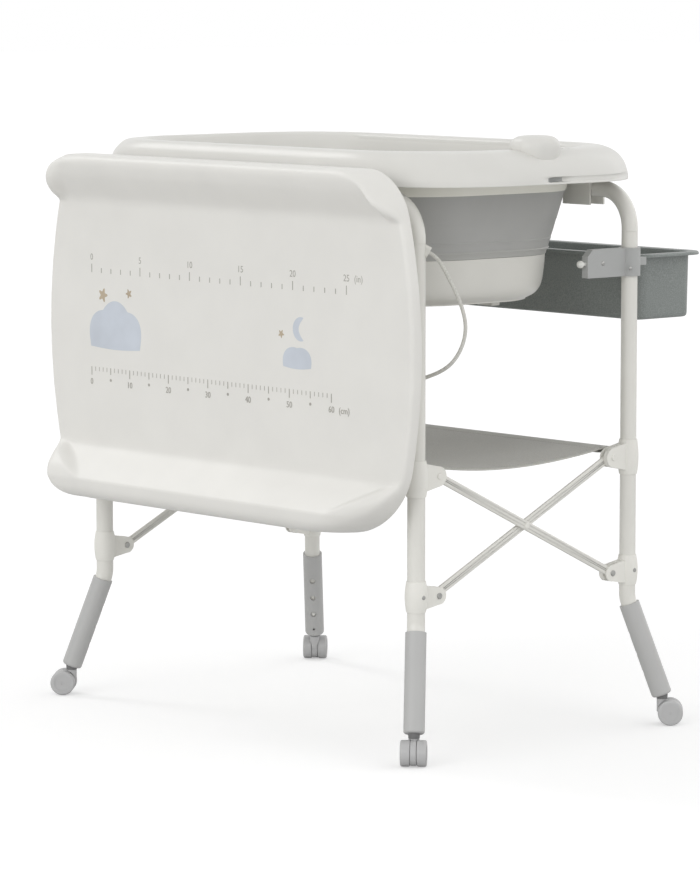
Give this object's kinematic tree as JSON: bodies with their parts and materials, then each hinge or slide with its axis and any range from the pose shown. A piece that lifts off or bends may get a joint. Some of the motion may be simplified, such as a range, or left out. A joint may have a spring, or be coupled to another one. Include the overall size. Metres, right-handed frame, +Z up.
{
  "type": "changing table with bathtub",
  "caption": "Folding tube-frame changing table on swivel casters with a collapsible bathtub, hanging changing board, cloth shelf and side tray.",
  "frame": {"origin": "on the floor, under the middle of the whole object", "axes": "+X right along the table's length, -Y towards the hanging changing board, +Z up"},
  "size_m": [0.9326, 0.7535, 0.957],
  "materials": {
    "white_tube": "powder-coated steel tube, warm white, semi-gloss",
    "white_moulding": "satin white moulded plastic",
    "white_gloss": "glossy white moulded plastic",
    "grey_sleeve": "satin mid-grey moulded plastic",
    "grey_wheel": "light grey moulded plastic",
    "dark_neck": "dark grey moulded plastic",
    "grey_clamp": "grey moulded plastic",
    "button_white": "glossy white plastic",
    "board_shell": "satin white blow-moulded shell",
    "tub_ring_beige": "warm white moulded plastic",
    "tub_elastomer": "soft grey elastomer",
    "tray_plastic": "smoky grey moulded plastic",
    "shelf_cloth": "grey-beige woven cloth",
    "cord": "white braided cord",
    "steel": "zinc-plated steel"
  },
  "bodies": {
    "rear_frame": {"rear_rail": "white_tube", "rear_left_leg": "white_tube", "rear_right_leg": "white_tube", "rear_lower_collars": "white_moulding", "rear_fasteners": "steel", "rear_clamps": "grey_clamp"},
    "brace_a": {"brace_a_left": "white_tube", "brace_a_right": "white_tube", "brace_centre_rivets": "steel"},
    "brace_b": {"brace_b_left": "white_tube", "brace_b_right": "white_tube"},
    "front_frame": {"front_rail": "white_tube", "front_left_leg": "white_tube", "front_right_leg": "white_tube", "front_lower_collars": "white_moulding", "front_fasteners": "steel", "board_hinge_brackets": "white_moulding", "stay_cord": "cord"},
    "front_collars": {"front_left_upper_collar": "white_moulding", "front_right_upper_collar": "white_moulding", "front_collar_rivets": "steel", "front_shelf_rod": "steel"},
    "rear_collars": {"rear_left_upper_collar": "white_moulding", "rear_right_upper_collar": "white_moulding", "rear_collar_rivets": "steel", "rear_shelf_rod": "steel", "fabric_shelf": "shelf_cloth"},
    "tub": {"tub_rim": "white_gloss", "tub_ring": "tub_ring_beige", "tub_wall": "tub_elastomer", "rim_rest": "white_gloss", "tub_saddles": "tub_ring_beige"},
    "tub_floor": {"tub_base": "tub_ring_beige", "tub_lower_ring": "tub_elastomer"},
    "drain_plug": {"drain_plug": "tub_elastomer"},
    "board": {"board": "board_shell", "board_fittings": "white_moulding"},
    "tray": {"tray": "tray_plastic"},
    "latch_knob_left": {"latch_knob_left": "button_white"},
    "latch_knob_right": {"latch_knob_right": "button_white"},
    "front_left_extension": {"front_left_sleeve": "grey_sleeve", "front_left_caster_neck": "dark_neck"},
    "front_left_button": {"front_left_height_button": "button_white"},
    "front_left_caster": {"front_left_caster_body": "grey_wheel"},
    "front_left_wheels": {"front_left_caster_wheels": "grey_wheel"},
    "front_right_extension": {"front_right_sleeve": "grey_sleeve", "front_right_caster_neck": "dark_neck"},
    "front_right_button": {"front_right_height_button": "button_white"},
    "front_right_caster": {"front_right_caster_body": "grey_wheel"},
    "front_right_wheels": {"front_right_caster_wheels": "grey_wheel"},
    "rear_left_extension": {"rear_left_sleeve": "grey_sleeve", "rear_left_caster_neck": "dark_neck"},
    "rear_left_button": {"rear_left_height_button": "button_white"},
    "rear_left_caster": {"rear_left_caster_body": "grey_wheel"},
    "rear_left_wheels": {"rear_left_caster_wheels": "grey_wheel"},
    "rear_right_extension": {"rear_right_sleeve": "grey_sleeve", "rear_right_caster_neck": "dark_neck"},
    "rear_right_button": {"rear_right_height_button": "button_white"},
    "rear_right_caster": {"rear_right_caster_body": "grey_wheel"},
    "rear_right_wheels": {"rear_right_caster_wheels": "grey_wheel"}
  },
  "joints": [
    {"name": "frame_fold", "type": "hinge", "parent": "rear_frame", "child": "brace_a", "pos_m": [0, 0.1505, 0.25], "axis": [-1, 0, 0], "range_deg": [0, 55], "deforming": ["fabric_shelf"]},
    {"name": "brace_cross", "type": "hinge", "parent": "brace_a", "child": "brace_b", "pos_m": [0, -0.038, 0.343], "axis": [-1, 0, 0], "range_deg": [-110.5, 0]},
    {"name": "front_frame_turn", "type": "hinge", "parent": "brace_b", "child": "front_frame", "pos_m": [0, -0.2265, 0.25], "axis": [-1, 0, 0], "range_deg": [0, 55.5]},
    {"name": "front_collar_turn", "type": "hinge", "parent": "brace_a", "child": "front_collars", "pos_m": [0, -0.2265, 0.436], "axis": [-1, 0, 0], "range_deg": [-55.5, 0]},
    {"name": "rear_collar_turn", "type": "hinge", "parent": "brace_b", "child": "rear_collars", "pos_m": [0, 0.1505, 0.436], "axis": [-1, 0, 0], "range_deg": [0, 55.5]},
    {"name": "tub_lift_off", "type": "slide", "parent": "rear_frame", "child": "tub", "axis": [0, 0, 1], "range_m": [0, 0.915]},
    {"name": "tub_collapse", "type": "slide", "parent": "tub", "child": "tub_floor", "axis": [0, 0, 1], "range_m": [0, 0.085], "deforming": ["tub_wall"]},
    {"name": "drain_plug_pull", "type": "slide", "parent": "tub_floor", "child": "drain_plug", "axis": [0, 0, 1], "range_m": [0, 0.04]},
    {"name": "board_swing", "type": "hinge", "parent": "front_frame", "child": "board", "pos_m": [0, -0.3205, 0.897], "axis": [-1, 0, 0], "range_deg": [0, 90], "deforming": ["stay_cord"]},
    {"name": "tray_lift", "type": "slide", "parent": "rear_frame", "child": "tray", "axis": [0, 0, 1], "range_m": [0, 0.12]},
    {"name": "latch_left_press", "type": "slide", "parent": "rear_frame", "child": "latch_knob_left", "axis": [0, 1, 0], "range_m": [0, 0.004], "stiffness_N_per_m": 400, "springref_m": -0.002},
    {"name": "latch_right_press", "type": "slide", "parent": "rear_frame", "child": "latch_knob_right", "axis": [0, 1, 0], "range_m": [0, 0.004], "stiffness_N_per_m": 400, "springref_m": -0.002},
    {"name": "front_left_extend", "type": "slide", "parent": "front_frame", "child": "front_left_extension", "axis": [-0.2418, -0.2418, -0.9397], "range_m": [0, 0.066]},
    {"name": "front_left_button_press", "type": "slide", "parent": "front_frame", "child": "front_left_button", "axis": [-0.6645, -0.6645, 0.342], "range_m": [0, 0.002], "stiffness_N_per_m": 600, "springref_m": -0.001},
    {"name": "front_left_swivel", "type": "hinge", "parent": "front_left_extension", "child": "front_left_caster", "pos_m": [-0.42913, -0.30813, 0.0416], "axis": [0, 0, 1], "continuous": true},
    {"name": "front_left_wheel_roll", "type": "hinge", "parent": "front_left_caster", "child": "front_left_wheels", "pos_m": [-0.43868, -0.31768, 0.0204], "axis": [0.7071, -0.7071, 0], "continuous": true},
    {"name": "front_right_extend", "type": "slide", "parent": "front_frame", "child": "front_right_extension", "axis": [0.2418, -0.2418, -0.9397], "range_m": [0, 0.066]},
    {"name": "front_right_button_press", "type": "slide", "parent": "front_frame", "child": "front_right_button", "axis": [0.6645, -0.6645, 0.342], "range_m": [0, 0.002], "stiffness_N_per_m": 600, "springref_m": -0.001},
    {"name": "front_right_swivel", "type": "hinge", "parent": "front_right_extension", "child": "front_right_caster", "pos_m": [0.42913, -0.30813, 0.0416], "axis": [0, 0, 1], "continuous": true},
    {"name": "front_right_wheel_roll", "type": "hinge", "parent": "front_right_caster", "child": "front_right_wheels", "pos_m": [0.43868, -0.31768, 0.0204], "axis": [-0.7071, -0.7071, 0], "continuous": true},
    {"name": "rear_left_extend", "type": "slide", "parent": "rear_frame", "child": "rear_left_extension", "axis": [-0.2418, 0.2418, -0.9397], "range_m": [0, 0.066]},
    {"name": "rear_left_button_press", "type": "slide", "parent": "rear_frame", "child": "rear_left_button", "axis": [-0.6645, 0.6645, 0.342], "range_m": [0, 0.002], "stiffness_N_per_m": 600, "springref_m": -0.001},
    {"name": "rear_left_swivel", "type": "hinge", "parent": "rear_left_extension", "child": "rear_left_caster", "pos_m": [-0.42913, 0.23213, 0.0416], "axis": [0, 0, 1], "continuous": true},
    {"name": "rear_left_wheel_roll", "type": "hinge", "parent": "rear_left_caster", "child": "rear_left_wheels", "pos_m": [-0.43868, 0.24168, 0.0204], "axis": [0.7071, 0.7071, 0], "continuous": true},
    {"name": "rear_right_extend", "type": "slide", "parent": "rear_frame", "child": "rear_right_extension", "axis": [0.2418, 0.2418, -0.9397], "range_m": [0, 0.066]},
    {"name": "rear_right_button_press", "type": "slide", "parent": "rear_frame", "child": "rear_right_button", "axis": [0.6645, 0.6645, 0.342], "range_m": [0, 0.002], "stiffness_N_per_m": 600, "springref_m": -0.001},
    {"name": "rear_right_swivel", "type": "hinge", "parent": "rear_right_extension", "child": "rear_right_caster", "pos_m": [0.42913, 0.23213, 0.0416], "axis": [0, 0, 1], "continuous": true},
    {"name": "rear_right_wheel_roll", "type": "hinge", "parent": "rear_right_caster", "child": "rear_right_wheels", "pos_m": [0.43868, 0.24168, 0.0204], "axis": [-0.7071, 0.7071, 0], "continuous": true}
  ],
  "couplings": [
    {"joint": "brace_cross", "follows": "frame_fold", "ratio": -2},
    {"joint": "front_frame_turn", "follows": "frame_fold", "ratio": 1},
    {"joint": "front_collar_turn", "follows": "frame_fold", "ratio": -1},
    {"joint": "rear_collar_turn", "follows": "frame_fold", "ratio": 1},
    {"joint": "tub_lift_off", "follows": "frame_fold", "m_per_rad": 0.95}
  ]
}
